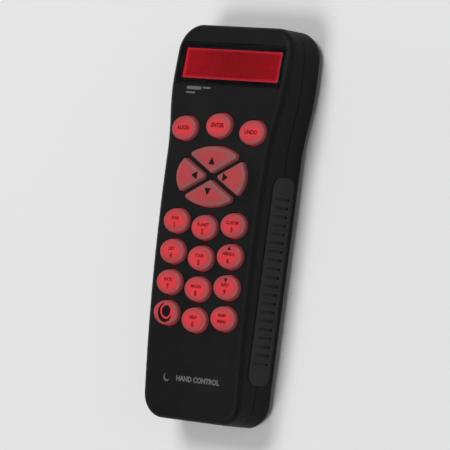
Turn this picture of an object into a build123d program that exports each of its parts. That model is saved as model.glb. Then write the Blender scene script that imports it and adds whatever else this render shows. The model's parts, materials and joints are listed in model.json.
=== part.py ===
from build123d import *
import os
from math import atan2, cos, degrees, hypot, radians, sin, sqrt, tan

os.makedirs("parts", exist_ok=True)

# Hand controller of a motorised telescope, lying on its back.
# X runs across the face to the right, Y along the body towards the display,
# Z out of the face.  The origin is the middle of the flat back.  Millimetres.

# Housing
length = 184.0          # end to end
head_margin = 3.5       # body beyond the lens on each side
head_flare = 2.0        # least that the head is wider than the waist, each side
head_length = 32.0      # top end to where the body reaches its full head width
neck_length = 22.0      # from there to the grip
waist_margin = 6.4      # body beyond the outer keys, where the grip begins
foot_taper = 2.2        # each side, from there to the bottom end
brow_radius = 13.0      # corners beside the display
neck_bend = 8.0         # reach of the soft corners at each end of the neck
foot_radius = 11.0
depth = 27.0            # back to the highest line of the face
crest_y = -10.0         # where the face stands highest
face_radius = 850.0     # long curve of the face
wall = 2.4
face_round = 3.0
back_round = 4.5
hollow_round = 0.8      # inside edges under the face
parting = 13.0          # height of the joint between the two shells
seam_chamfer = 0.25     # outer edges of both shells along the joint
opening_round = 0.35    # lips of the openings in the face

# Tongue and groove between the shells
tongue_inset = 1.3
tongue_height = 1.4
fit_gap = 0.1           # clearance between fixed pieces that fit into each other

# Side grips
grip_length = 96.0
grip_height = 14.0
grip_setback = 20.0     # bottom end of the body to the grips
grip_drop = 0.5         # middle of the grips below the parting plane
grip_depth = 1.2        # recess in the wall
grip_proud = 0.4
grip_corner = 5.0
rib_pitch = 4.0
rib_groove = 1.2
rib_depth = 0.6
rib_margin = 8.0        # smooth ends of the grips

# Round keys
key_width = 16.0
key_height = 11.7
key_proud = 1.8         # key tops above the face
key_round = 1.1
key_gap = 0.35          # all round a key in its opening
key_travel = 1.0
flange = 0.75           # beyond the cap, under the face
flange_gap = 0.1        # flange to the mat with the key pressed home
flange_thick = 0.9
flange_roof_gap = 0.36  # flange to the inside of the face, where that is lowest
plunger_radius = 2.6
plunger_gap = 0.4
switch_gap = 0.05       # plunger end to the board with the key pressed home
top_row_below = 30.95   # window's middle to the top row
top_row_aisle = 5.5     # between the keys of the top row
top_row_rise = 2.2      # the middle key of the top row stands higher
row_aisle = 2.6
column_aisle = 2.2
middle_drop = 2.0       # the middle column sits lower

# Direction pad: an oval cut into four keys by a cross
pad_half_x = 22.0
pad_half_y = 14.2
pad_above_gap = 1.55    # oval pad to the keys above and below it
pad_below_gap = 1.65
pad_cross = 27.7        # degrees, each arm of the cross from the X axis
pad_slot = 2.5
pad_corner = 1.3
side_plunger_x = 12.5
end_plunger_y = 7.6

# Display
window_width = 61.0
window_height = 14.3
window_setback = 18.25  # top end of the body to the window's middle
lens_width = 66.0
lens_height = 20.0
lens_thick = 0.8
lens_corner = 2.0
ledge = 1.0             # seat of the lens in the housing
bezel_sheet = 0.4       # metal frame
bezel_gap = 0.3
bezel_drop = 6.3        # lens seat to the display board
glass_thick = 2.0
glass_inset = 0.5
display_board_width = 66.0
display_board_height = 27.2
display_board_corner = 6.5
board_thick = 1.6
display_boss_x = 27.0
display_boss_v = 11.6
display_boss_radius = 1.8
display_screw_radius = 0.9
display_screw_bite = 2.4
display_screw_head = 0.9
gasket_gap = 0.2        # foam strip round the metal frame
gasket_wall = 0.6

# Main board and the layers on it
board_gap = 0.8
board_bottom_gap = 8.0  # bottom end of the body to the board
board_top_gap = 34.5    # top end of the body to the board
guide_thick = 0.8
mat_thick = 1.2
mat_inset = 1.4
mat_margin = 8.75       # mat beyond the lowest keys
mat_top_gap = 35.0      # top end of the body to the mat
tail_width = 11.0       # tail of the light guide, into its ferrule
tail_length = 5.0
ferrule_width = 13.0
ferrule_length = 6.0
ferrule_height = 3.6
ferrule_round = 0.9
lamp_radius = 1.5
lamp_length = 4.8

# Parts soldered under the main board: x, distance down from the board's top end,
# width, length, height
chips = {
    "board_header": (0.0, 11.5, 24.0, 3.2, 3.0),
    "processor": (0.0, 37.5, 14.0, 14.0, 1.4),
    "crystal": (-14.0, 35.5, 4.6, 11.4, 3.4),
    "memory_chip": (0.0, 60.5, 6.0, 10.2, 1.8),
    "regulator": (-12.0, 108.5, 6.6, 6.2, 1.7),
    "line_driver": (9.0, 112.5, 7.5, 10.3, 2.3),
}
chip_chamfer = 0.2
can_radius = 3.0
can_round = 0.4
can_height = 5.6
can_places = [(-16.0, 97.5), (-8.5, 97.5), (14.0, 98.5)]
resistor_width = 2.0
resistor_length = 1.2
resistor_height = 0.6
resistor_pitch_x = 5.0
resistor_pitch_y = 4.0
resistor_down = 79.5
header_v = -8.0         # the ribbon's header under the display board
ribbon_width = 22.0
ribbon_thick = 0.8
ribbon_dip = 4.0
ribbon_bend = 2.0

# Case screws
foot_screw_inset = 9.4  # from the side of the body
foot_screw_setback = 26.0
middle_screw_outset = 4.8   # beyond the middle of the outer keys
middle_screw_above = 4.25   # above the first row of keys
head_screw_outset = 6.0     # beyond the middle of the top row's outer keys
head_screw_above = 5.55
screw_shank = 1.25
screw_hole = 1.45
screw_pilot = 1.3
screw_bite = 3.2        # into the front boss
screw_head = 2.4
screw_head_height = 1.8
cross_width = 0.6       # cross slots of the driver
cross_length = 3.2
counterbore = 2.7
counterbore_depth = 6.0
post_radius = 2.7
post_foot = 3.9
boss_radius = 2.4
boss_gap = 0.3

# Sockets at the bottom end
socket_length = 18.0
socket_height = 10.8
socket_roof = 1.2
plug_height = 6.8
latch_height = 2.0
latch_width = 3.4
socket_cavity = 14.0
contact_wire = 0.4
contact_pitch = 1.02
contact_drop = 0.5      # wires below the roof of the cavity
contact_reach = 6.5     # from the mouth to the bend of the wires
contact_lean = 4.0
contact_dip = 1.6
mouth_recess = 0.2
cord_socket_x = -9.6
cord_socket_width = 13.4
cord_plug_width = 9.8
cord_contacts = 6
serial_socket_x = 8.0
serial_socket_width = 11.2
serial_plug_width = 7.8
serial_contacts = 4

# Label on the back
label_width = 38.0
label_length = 52.0
label_setback = 70.0    # bottom end of the body to the label's middle
label_recess = 0.4

# Places along and across the body, from the top end down to the lowest keys
top_y = length / 2
foot_y = -length / 2
window_y = top_y - window_setback
top_row_y = window_y - top_row_below
pad_y = top_row_y - key_height / 2 - pad_above_gap - pad_half_y
first_row_y = pad_y - pad_half_y - pad_below_gap - key_height / 2
row_pitch = key_height + row_aisle
column_pitch = key_width + column_aisle
top_row_pitch = key_width + top_row_aisle
last_row_y = first_row_y - 3 * row_pitch - middle_drop
waist_half = column_pitch + key_width / 2 + waist_margin
foot_half = waist_half - foot_taper
head_half = max(lens_width / 2 + head_margin, waist_half + head_flare)
head_y = top_y - head_length
waist_y = head_y - neck_length
grip_y = foot_y + grip_setback + grip_length / 2
label_y = foot_y + label_setback
board_bottom_y = foot_y + board_bottom_gap
board_top_y = top_y - board_top_gap
mat_bottom_y = last_row_y - key_height / 2 - mat_margin
mat_top_y = top_y - mat_top_gap
screw_places = [
    (side * x, y)
    for x, y in (
        (foot_half - foot_screw_inset, foot_y + foot_screw_setback),
        (column_pitch + middle_screw_outset, first_row_y + key_height / 2 + middle_screw_above),
        (top_row_pitch + head_screw_outset, top_row_y + key_height / 2 + head_screw_above),
    )
    for side in (-1, 1)
]

# Heights inside.  The keys' flanges lie under the face where it is lowest over them,
# and the mat, the light guide, the board and the sockets follow below.
keys_top_y = top_row_y + top_row_rise + key_height / 2 + flange
keys_bottom_y = last_row_y - key_height / 2 - flange
keys_reach = max(keys_top_y - crest_y, crest_y - keys_bottom_y)
roof_low = depth - face_radius + sqrt((face_radius - wall) ** 2 - keys_reach**2)
flange_top = roof_low - flange_roof_gap
flange_low = flange_top - flange_thick
mat_top = flange_low - flange_gap - key_travel
guide_top = mat_top - mat_thick
board_top = guide_top - guide_thick
board_low = board_top - board_thick
plunger_low = board_top + key_travel + switch_gap
socket_low = board_low - socket_height
grip_z = parting - grip_drop

# The display stands square to the face at its own place
face_centre = (0, crest_y, depth - face_radius)
roll_width = 4 * head_half
window_run = window_y - crest_y
window_z = depth - face_radius + sqrt(face_radius**2 - window_run**2)
window_tilt = degrees(atan2(window_run, window_z - depth + face_radius))
window_normal = (0, sin(radians(window_tilt)), cos(radians(window_tilt)))
window_plane = Plane((0, window_y, window_z), x_dir=(1, 0, 0), z_dir=window_normal)
lens_seat = -(lens_thick + fit_gap)
bezel_top = lens_seat - fit_gap
display_board_top = lens_seat - bezel_drop
bezel_width = lens_width - 2 * ledge - 2 * bezel_gap
bezel_height = lens_height - 2 * ledge - 2 * bezel_gap


def outline(inset=0.0):
    """Plan outline of the body, pulled in all round by inset."""
    right = [
        (foot_half, foot_y),
        (waist_half, waist_y),
        (head_half, head_y),
        (head_half, top_y),
    ]
    left = [(-x, y) for x, y in reversed(right)]
    neck_turn = atan2(head_half - waist_half, neck_length)
    grip_turn = atan2(foot_taper, waist_y - foot_y)
    head_blend = neck_bend / tan(neck_turn / 2)
    waist_blend = neck_bend / tan((neck_turn - grip_turn) / 2)
    radii = [foot_radius, waist_blend, head_blend, brow_radius]
    with BuildSketch() as shape:
        with BuildLine():
            Polyline(*right, *left, close=True)
        make_face()
        for (corner_x, corner_y), radius in zip(right, radii):
            corners = [v for v in shape.vertices() if hypot(abs(v.X) - corner_x, v.Y - corner_y) < 0.01]
            fillet(corners, radius)
        if inset:
            offset(amount=-inset)
    return shape.sketch


def body_block(inset, low, top_round, low_round):
    """The body, or the hollow inside it, as one block under the curved face."""
    face = outline(inset)
    with BuildPart() as block:
        with BuildSketch(Plane.XY.offset(low)):
            add(face)
        extrude(amount=depth)
        with Locations(face_centre):
            Cylinder(face_radius - inset, roll_width, rotation=(0, 90, 0), mode=Mode.INTERSECT)
        fillet(block.faces().sort_by(Axis.Z)[-1].edges(), top_round)
        fillet(block.faces().sort_by(Axis.Z)[0].edges(), low_round)
    return block.part


def ring(outer_inset, inner_inset, low, height):
    """A band that follows the side wall between two insets."""
    outer = outline(outer_inset)
    inner = outline(inner_inset)
    with BuildPart() as band:
        with BuildSketch(Plane.XY.offset(low)):
            add(outer)
            add(inner, mode=Mode.SUBTRACT)
        extrude(amount=height)
    return band.part


def grip_band(side, outer_inset, inner_inset, margin):
    """The part of the side wall's band inside one grip's rounded window."""
    band = ring(outer_inset, inner_inset, 0, depth)
    with BuildPart() as grip:
        add(band)
        with BuildSketch(Plane.YZ):
            with Locations((grip_y, grip_z)):
                RectangleRounded(grip_length + 2 * margin, grip_height + 2 * margin, grip_corner + margin)
        extrude(amount=side * 2 * head_half, mode=Mode.INTERSECT)
    return grip.part


def finish(part, name):
    """Label one piece and write it."""
    part.label = name
    export_step(part, "parts/" + name + ".step")


# Places and outlines of the keys ------------------------------------------------

round_keys = {
    "key_align": (-top_row_pitch, top_row_y),
    "key_enter": (0, top_row_y + top_row_rise),
    "key_undo": (top_row_pitch, top_row_y),
}
pad_names = [
    ["key_1", "key_2", "key_3"],
    ["key_4", "key_5", "key_6"],
    ["key_7", "key_8", "key_9"],
    ["key_light", "key_0", "key_menu"],
]
for row, names in enumerate(pad_names):
    for column, name in enumerate(names):
        drop = middle_drop if column == 1 else 0
        key_y = first_row_y - row * row_pitch - drop
        round_keys[name] = ((column - 1) * column_pitch, key_y)

arrow_keys = {
    "arrow_right": (0, pad_cross, (side_plunger_x, 0)),
    "arrow_up": (90, 90 - pad_cross, (0, end_plunger_y)),
    "arrow_left": (180, pad_cross, (-side_plunger_x, 0)),
    "arrow_down": (270, 90 - pad_cross, (0, -end_plunger_y)),
}
key_centres = list(round_keys.values())
plunger_places = key_centres + [(x, pad_y + y) for _, _, (x, y) in arrow_keys.values()]


def oval(grow=0.0):
    """A round key's outline, grown all round."""
    with BuildSketch() as shape:
        Ellipse(key_width / 2 + grow, key_height / 2 + grow)
    return shape.sketch


def arrow(turn, half_angle, grow=0.0):
    """One quarter of the direction pad, grown all round, about the pad's centre."""
    apex = (pad_slot / 2 - grow) / sin(radians(half_angle))
    reach = 3 * pad_half_x
    corner_x = apex + reach * cos(radians(half_angle))
    corner_y = reach * sin(radians(half_angle))
    with BuildSketch() as shape:
        Ellipse(pad_half_x + grow, pad_half_y + grow)
        Polygon(
            (apex, 0), (corner_x, -corner_y), (corner_x, corner_y),
            rotation=turn, align=None, mode=Mode.INTERSECT,
        )
        fillet(shape.vertices(), pad_corner + grow)
    return shape.sketch


def make_key(name, cap, skirt, place, plunger):
    """A key: cap through the face, flange under it and plunger down to the board."""
    with BuildPart() as key:
        with BuildSketch(Plane.XY.offset(flange_low)):
            with Locations(place):
                add(cap)
        extrude(amount=depth)
        with Locations(face_centre):
            Cylinder(face_radius + key_proud, roll_width, rotation=(0, 90, 0), mode=Mode.INTERSECT)
        fillet(key.faces().sort_by(Axis.Z)[-1].edges(), key_round)
        with BuildSketch(Plane.XY.offset(flange_low)):
            with Locations(place):
                add(skirt)
        extrude(amount=flange_thick)
        with BuildSketch(Plane.XY.offset(plunger_low)):
            with Locations((place[0] + plunger[0], place[1] + plunger[1])):
                Circle(plunger_radius)
        extrude(amount=flange_low - plunger_low)
    finish(key.part, name)


# Keys, each in soft translucent silicone
oval_cap = oval()
oval_skirt = oval(flange)
oval_hole = oval(key_gap)
for key_name, key_place in round_keys.items():
    make_key(key_name, oval_cap, oval_skirt, key_place, (0, 0))
for key_name, (turn, half_angle, plunger_place) in arrow_keys.items():
    make_key(key_name, arrow(turn, half_angle), arrow(turn, half_angle, flange), (0, pad_y), plunger_place)

# Shells ---------------------------------------------------------------------------

solid_body = body_block(0, 0, face_round, back_round)
hollow = body_block(wall, wall, hollow_round, back_round - wall)
grip_recesses = [grip_band(side, -1, grip_depth, fit_gap) for side in (-1, 1)]
tongue_ring = ring(tongue_inset, wall, parting, tongue_height)
groove_ring = ring(tongue_inset - fit_gap, wall, parting, tongue_height + fit_gap)
arrow_holes = [arrow(turn, half_angle, key_gap) for turn, half_angle, _ in arrow_keys.values()]
sockets = {
    "cord_socket": (cord_socket_x, cord_socket_width, cord_plug_width, cord_contacts),
    "serial_socket": (serial_socket_x, serial_socket_width, serial_plug_width, serial_contacts),
}

with BuildPart() as mouth_cutter:
    for socket_x, socket_width, _, _ in sockets.values():
        with Locations((socket_x, foot_y, socket_low + socket_height / 2)):
            Box(socket_width + 2 * fit_gap, 3 * wall, socket_height + 2 * fit_gap)

with BuildPart() as grip_keepout:
    with Locations((0, grip_y, parting + tongue_height / 2)):
        Box(4 * head_half, grip_length + 4 * wall, 2 * tongue_height)
    add(mouth_cutter.part)

# bosses that take the case screws, from the face down to the board
with BuildPart() as face_bosses:
    with BuildSketch(Plane.XY.offset(board_top)):
        with Locations(*screw_places):
            Circle(boss_radius)
    extrude(amount=depth)
    with Locations(face_centre):
        Cylinder(face_radius - wall / 2, roll_width, rotation=(0, 90, 0), mode=Mode.INTERSECT)
    with BuildSketch(Plane.XY.offset(board_top)):
        with Locations(*screw_places):
            Circle(screw_pilot)
    extrude(amount=screw_bite + fit_gap, mode=Mode.SUBTRACT)

with BuildPart() as front_shell:
    add(solid_body)
    add(hollow, mode=Mode.SUBTRACT)
    split(bisect_by=Plane.XY.offset(parting), keep=Keep.TOP)
    chamfer(front_shell.faces().sort_by(Axis.Z)[0].outer_wire().edges(), seam_chamfer)
    add(groove_ring - grip_keepout.part, mode=Mode.SUBTRACT)
    for recess in grip_recesses:
        add(recess, mode=Mode.SUBTRACT)
    add(mouth_cutter.part, mode=Mode.SUBTRACT)
    add(face_bosses.part)
    # openings of the keys
    with BuildSketch(Plane.XY.offset(parting)):
        with Locations(*key_centres):
            add(oval_hole)
        with Locations((0, pad_y)):
            for hole in arrow_holes:
                add(hole)
    extrude(amount=depth, mode=Mode.SUBTRACT)
    lips = [wire.edges() for wire in front_shell.faces().sort_by(Axis.Z)[-1].inner_wires()]
    fillet(sum(lips, ShapeList()), opening_round)
    # bosses of the display board
    with BuildSketch(window_plane.offset(display_board_top)):
        with GridLocations(2 * display_boss_x, 2 * display_boss_v, 2, 2):
            Circle(display_boss_radius)
    extrude(amount=-display_board_top - wall / 2)
    # window with its seat for the lens
    with BuildSketch(window_plane.offset(lens_seat)):
        RectangleRounded(lens_width + 2 * fit_gap, lens_height + 2 * fit_gap, lens_corner + fit_gap)
    extrude(amount=wall, mode=Mode.SUBTRACT)
    with BuildSketch(window_plane.offset(-2 * wall)):
        RectangleRounded(lens_width - 2 * ledge, lens_height - 2 * ledge, lens_corner)
    extrude(amount=2 * wall, mode=Mode.SUBTRACT)
    with BuildSketch(window_plane.offset(display_board_top)):
        with GridLocations(2 * display_boss_x, 2 * display_boss_v, 2, 2):
            Circle(display_screw_radius + fit_gap)
    extrude(amount=display_screw_bite + fit_gap, mode=Mode.SUBTRACT)
finish(front_shell.part, "front_shell")

with BuildPart() as rear_shell:
    add(solid_body)
    add(hollow, mode=Mode.SUBTRACT)
    split(bisect_by=Plane.XY.offset(parting), keep=Keep.BOTTOM)
    chamfer(rear_shell.faces().sort_by(Axis.Z)[-1].outer_wire().edges(), seam_chamfer)
    add(tongue_ring - grip_keepout.part)
    for recess in grip_recesses:
        add(recess, mode=Mode.SUBTRACT)
    add(mouth_cutter.part, mode=Mode.SUBTRACT)
    # posts that carry the board
    with BuildSketch(Plane.XY.offset(wall / 2)):
        with Locations(*screw_places):
            Circle(post_foot)
    extrude(amount=counterbore_depth)
    with BuildSketch(Plane.XY.offset(wall / 2)):
        with Locations(*screw_places):
            Circle(post_radius)
    extrude(amount=board_low - wall / 2)
    with BuildSketch():
        with Locations(*screw_places):
            Circle(counterbore)
    extrude(amount=counterbore_depth, mode=Mode.SUBTRACT)
    with BuildSketch():
        with Locations(*screw_places):
            Circle(screw_hole)
    extrude(amount=board_low, mode=Mode.SUBTRACT)
    # shallow seat of the label
    with BuildSketch():
        with Locations((0, label_y)):
            RectangleRounded(label_width + 2 * fit_gap, label_length + 2 * fit_gap, lens_corner)
    extrude(amount=label_recess, mode=Mode.SUBTRACT)
finish(rear_shell.part, "rear_shell")

with BuildPart() as rear_label:
    with BuildSketch(Plane.XY.offset(fit_gap)):
        with Locations((0, label_y)):
            RectangleRounded(label_width, label_length, lens_corner - fit_gap)
    extrude(amount=label_recess - fit_gap)
finish(rear_label.part, "rear_label")

with BuildPart() as case_screws:
    with BuildSketch(Plane.XY.offset(counterbore_depth - screw_head_height)):
        with Locations(*screw_places):
            Circle(screw_head)
    extrude(amount=screw_head_height)
    with BuildSketch(Plane.XY.offset(counterbore_depth)):
        with Locations(*screw_places):
            Circle(screw_shank)
    extrude(amount=board_top + screw_bite - counterbore_depth)
    with Locations(*[(x, y, counterbore_depth - screw_head_height) for x, y in screw_places]):
        Box(cross_width, cross_length, screw_head_height, mode=Mode.SUBTRACT)
        Box(cross_length, cross_width, screw_head_height, mode=Mode.SUBTRACT)
finish(case_screws.part, "case_screws")

# Ribbed rubber grips in the side walls
rib_count = int((grip_length - 2 * rib_margin) / rib_pitch)
for side, grip_name in ((-1, "left_grip"), (1, "right_grip")):
    blank = grip_band(side, -grip_proud, grip_depth - fit_gap, 0)
    skin = ring(-2 * grip_proud, rib_depth - grip_proud, 0, depth)
    with BuildPart() as grooves:
        with Locations((side * head_half, grip_y, grip_z)):
            with GridLocations(0, rib_pitch, 1, rib_count):
                Box(head_half, rib_groove, grip_height - grip_corner)
        add(skin, mode=Mode.INTERSECT)
    with BuildPart() as grip:
        add(blank)
        add(grooves.part, mode=Mode.SUBTRACT)
    finish(grip.part, grip_name)

# Display --------------------------------------------------------------------------

with BuildPart() as display_lens:
    with BuildSketch(window_plane.offset(lens_seat)):
        RectangleRounded(lens_width, lens_height, lens_corner)
    extrude(amount=lens_thick)
finish(display_lens.part, "display_lens")

with BuildPart() as display_frame:
    with BuildSketch(window_plane.offset(display_board_top)):
        RectangleRounded(bezel_width, bezel_height, lens_corner)
    extrude(amount=bezel_top - display_board_top)
    with BuildSketch(window_plane.offset(display_board_top)):
        Rectangle(bezel_width - 2 * bezel_sheet, bezel_height - 2 * bezel_sheet)
    extrude(amount=bezel_top - bezel_sheet - display_board_top, mode=Mode.SUBTRACT)
    with BuildSketch(window_plane.offset(bezel_top)):
        Rectangle(window_width, window_height)
    extrude(amount=-2 * bezel_sheet, mode=Mode.SUBTRACT)
finish(display_frame.part, "display_frame")

glass_top = bezel_top - bezel_sheet
glass_low = glass_top - glass_thick
with BuildPart() as display_glass:
    with BuildSketch(window_plane.offset(glass_low)):
        Rectangle(bezel_width - 2 * glass_inset, bezel_height - 2 * glass_inset)
    extrude(amount=glass_thick)
finish(display_glass.part, "display_glass")

with BuildPart() as display_backlight:
    with BuildSketch(window_plane.offset(display_board_top)):
        Rectangle(bezel_width - 2 * glass_inset, bezel_height - 2 * glass_inset)
    extrude(amount=glass_low - display_board_top)
finish(display_backlight.part, "display_backlight")

with BuildPart() as display_gasket:
    with BuildSketch(window_plane.offset(display_board_top)):
        RectangleRounded(
            bezel_width + 2 * gasket_gap + 2 * gasket_wall,
            bezel_height + 2 * gasket_gap + 2 * gasket_wall,
            lens_corner,
        )
        Rectangle(bezel_width + 2 * gasket_gap, bezel_height + 2 * gasket_gap, mode=Mode.SUBTRACT)
    extrude(amount=-display_board_top - wall - fit_gap)
finish(display_gasket.part, "display_gasket")

with BuildPart() as display_board:
    with BuildSketch(window_plane.offset(display_board_top)):
        RectangleRounded(display_board_width, display_board_height, display_board_corner)
        with GridLocations(2 * display_boss_x, 2 * display_boss_v, 2, 2):
            Circle(display_screw_radius + fit_gap, mode=Mode.SUBTRACT)
    extrude(amount=-board_thick)
finish(display_board.part, "display_board")

with BuildPart() as display_screws:
    with BuildSketch(window_plane.offset(display_board_top - board_thick)):
        with GridLocations(2 * display_boss_x, 2 * display_boss_v, 2, 2):
            Circle(display_boss_radius)
    extrude(amount=-display_screw_head)
    with BuildSketch(window_plane.offset(display_board_top - board_thick)):
        with GridLocations(2 * display_boss_x, 2 * display_boss_v, 2, 2):
            Circle(display_screw_radius)
    extrude(amount=board_thick + display_screw_bite)
finish(display_screws.part, "display_screws")

# Board with its layers ------------------------------------------------------------


def layer(inset, low_y, high_y, low, thick, holes):
    """A flat layer inside the body between two ends, with groups of round holes."""
    face = outline(inset)
    with BuildPart() as sheet:
        with BuildSketch(Plane.XY.offset(low)):
            add(face)
            with Locations((0, (low_y + high_y) / 2)):
                Rectangle(2 * head_half, high_y - low_y, mode=Mode.INTERSECT)
            for places, radius in holes:
                with Locations(*places):
                    Circle(radius, mode=Mode.SUBTRACT)
        extrude(amount=thick)
    return sheet.part


board_inset = wall + board_gap
board_holes = [(screw_places, screw_hole)]
main_board = layer(board_inset, board_bottom_y, board_top_y, board_low, board_thick, board_holes)
finish(main_board, "main_board")

sheet_inset = wall + mat_inset
sheet_holes = [(screw_places, boss_radius + boss_gap), (plunger_places, plunger_radius + plunger_gap)]
guide_sheet = layer(sheet_inset, mat_bottom_y, mat_top_y, board_top, guide_thick, sheet_holes)
with BuildPart() as light_guide:
    add(guide_sheet)
    with BuildSketch(Plane.XY.offset(board_top)):
        with Locations((0, mat_bottom_y - tail_length / 2)):
            Rectangle(tail_width, tail_length)
    extrude(amount=guide_thick)
finish(light_guide.part, "light_guide")
keypad_mat = layer(sheet_inset, mat_bottom_y, mat_top_y, guide_top, mat_thick, sheet_holes)
finish(keypad_mat, "keypad_mat")

with BuildPart() as light_guide_ferrule:
    with Locations((0, mat_bottom_y - tail_length - ferrule_length / 2, board_top + ferrule_height / 2)):
        Box(ferrule_width, ferrule_length, ferrule_height)
    fillet(light_guide_ferrule.edges().filter_by(Axis.Z), ferrule_round)
finish(light_guide_ferrule.part, "light_guide_ferrule")

lamp_y = mat_bottom_y - tail_length - ferrule_length
with BuildPart() as backlight_led:
    with BuildSketch(Plane.XZ.offset(-lamp_y)):
        with Locations((0, board_top + ferrule_height / 2)):
            Circle(lamp_radius)
    extrude(amount=lamp_length)
finish(backlight_led.part, "backlight_led")

for chip_name, (chip_x, chip_down, chip_width, chip_length, chip_height) in chips.items():
    with BuildPart() as chip:
        with BuildSketch(Plane.XY.offset(board_low)):
            with Locations((chip_x, board_top_y - chip_down)):
                Rectangle(chip_width, chip_length)
        extrude(amount=-chip_height)
        chamfer(chip.faces().sort_by(Axis.Z)[0].edges(), chip_chamfer)
    finish(chip.part, chip_name)

with BuildPart() as board_capacitors:
    with BuildSketch(Plane.XY.offset(board_low)):
        with Locations(*[(x, board_top_y - down) for x, down in can_places]):
            Circle(can_radius)
    extrude(amount=-can_height)
    fillet(board_capacitors.edges().filter_by(GeomType.CIRCLE).group_by(Axis.Z)[0], can_round)
finish(board_capacitors.part, "board_capacitors")

with BuildPart() as board_resistors:
    with Locations((0, board_top_y - resistor_down, board_low - resistor_height / 2)):
        with GridLocations(resistor_pitch_x, resistor_pitch_y, 6, 3):
            Box(resistor_width, resistor_length, resistor_height)
finish(board_resistors.part, "board_resistors")

# Ribbon between the two boards
_, header_down, header_width, header_length, header_height = chips["board_header"]
board_header_y = board_top_y - header_down
header_low = display_board_top - board_thick - header_height
with BuildPart() as display_header:
    with BuildSketch(window_plane.offset(header_low)):
        with Locations((0, header_v)):
            Rectangle(header_width, header_length)
    extrude(amount=header_height)
finish(display_header.part, "display_header")

ribbon_start = window_plane.from_local_coords(Vector(0, header_v, header_low))
ribbon_bottom = window_plane.from_local_coords(Vector(0, header_v, header_low - ribbon_dip))
header_end_z = board_low - header_height
with BuildPart() as display_ribbon:
    with BuildSketch(Plane.YZ):
        with BuildLine():
            FilletPolyline(
                (ribbon_start.Y, ribbon_start.Z),
                (ribbon_bottom.Y, ribbon_bottom.Z),
                (board_header_y, header_end_z - ribbon_dip),
                (board_header_y, header_end_z),
                radius=ribbon_bend,
            )
        trace(line_width=ribbon_thick)
    extrude(amount=ribbon_width / 2, both=True)
finish(display_ribbon.part, "display_ribbon")

# Sockets --------------------------------------------------------------------------

mouth_y = foot_y + mouth_recess
cavity_roof = board_low - socket_roof
wire_z = cavity_roof - contact_drop
for socket_name, (socket_x, socket_width, plug_width, contacts) in sockets.items():
    with BuildPart() as housing:
        with BuildSketch(Plane.XZ.offset(-mouth_y)):
            with Locations((socket_x, board_low - socket_height / 2)):
                Rectangle(socket_width, socket_height)
        extrude(amount=-socket_length)
        with BuildSketch(Plane.XZ.offset(-mouth_y)):
            with Locations((socket_x, cavity_roof - plug_height / 2)):
                Rectangle(plug_width, plug_height)
            with Locations((socket_x, cavity_roof - plug_height - latch_height / 2)):
                Rectangle(latch_width, latch_height)
        extrude(amount=-socket_cavity, mode=Mode.SUBTRACT)
    finish(housing.part, socket_name)
    with BuildPart() as wires:
        for contact in range(contacts):
            wire_x = socket_x + (contact - (contacts - 1) / 2) * contact_pitch
            with BuildSketch(Plane.YZ.offset(wire_x - contact_wire / 2)):
                with BuildLine():
                    Polyline(
                        (mouth_y + socket_cavity, wire_z),
                        (mouth_y + contact_reach, wire_z),
                        (mouth_y + contact_reach + contact_lean, wire_z - contact_dip),
                    )
                trace(line_width=contact_wire)
            extrude(amount=contact_wire)
    finish(wires.part, socket_name.replace("socket", "contacts"))
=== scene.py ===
import json
from math import asin, cos, hypot, pi, radians, sin, sqrt

import bmesh
import bpy
from mathutils import Matrix, Vector


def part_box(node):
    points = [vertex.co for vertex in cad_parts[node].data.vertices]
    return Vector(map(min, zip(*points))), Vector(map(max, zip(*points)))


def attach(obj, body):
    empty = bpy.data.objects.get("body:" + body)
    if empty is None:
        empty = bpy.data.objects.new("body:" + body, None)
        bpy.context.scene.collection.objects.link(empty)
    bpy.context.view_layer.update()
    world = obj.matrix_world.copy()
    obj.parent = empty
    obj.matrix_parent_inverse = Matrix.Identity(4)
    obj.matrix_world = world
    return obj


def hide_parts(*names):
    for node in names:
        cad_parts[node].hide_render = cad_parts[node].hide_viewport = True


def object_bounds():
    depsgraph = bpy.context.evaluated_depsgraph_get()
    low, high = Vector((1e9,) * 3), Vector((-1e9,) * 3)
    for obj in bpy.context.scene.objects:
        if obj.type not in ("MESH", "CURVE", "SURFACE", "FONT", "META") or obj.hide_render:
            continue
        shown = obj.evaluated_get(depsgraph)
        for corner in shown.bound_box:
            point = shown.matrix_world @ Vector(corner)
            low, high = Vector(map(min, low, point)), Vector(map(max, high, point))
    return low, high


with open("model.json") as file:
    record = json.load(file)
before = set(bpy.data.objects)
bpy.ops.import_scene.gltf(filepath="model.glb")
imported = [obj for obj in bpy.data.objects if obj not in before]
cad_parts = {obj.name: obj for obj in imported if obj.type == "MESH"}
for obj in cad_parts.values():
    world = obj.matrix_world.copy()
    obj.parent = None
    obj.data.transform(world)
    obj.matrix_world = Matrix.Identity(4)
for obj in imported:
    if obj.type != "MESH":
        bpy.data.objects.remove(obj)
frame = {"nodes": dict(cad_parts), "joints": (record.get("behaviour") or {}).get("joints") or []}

cad_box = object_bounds()

# Front and rear shells: two black ABS mouldings with a fine, even, sparked texture
# on the outside. A tongue and groove joins them half way up, and six screws from
# behind hold them together.
mm = 0.001
nodes = frame["nodes"]


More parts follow.
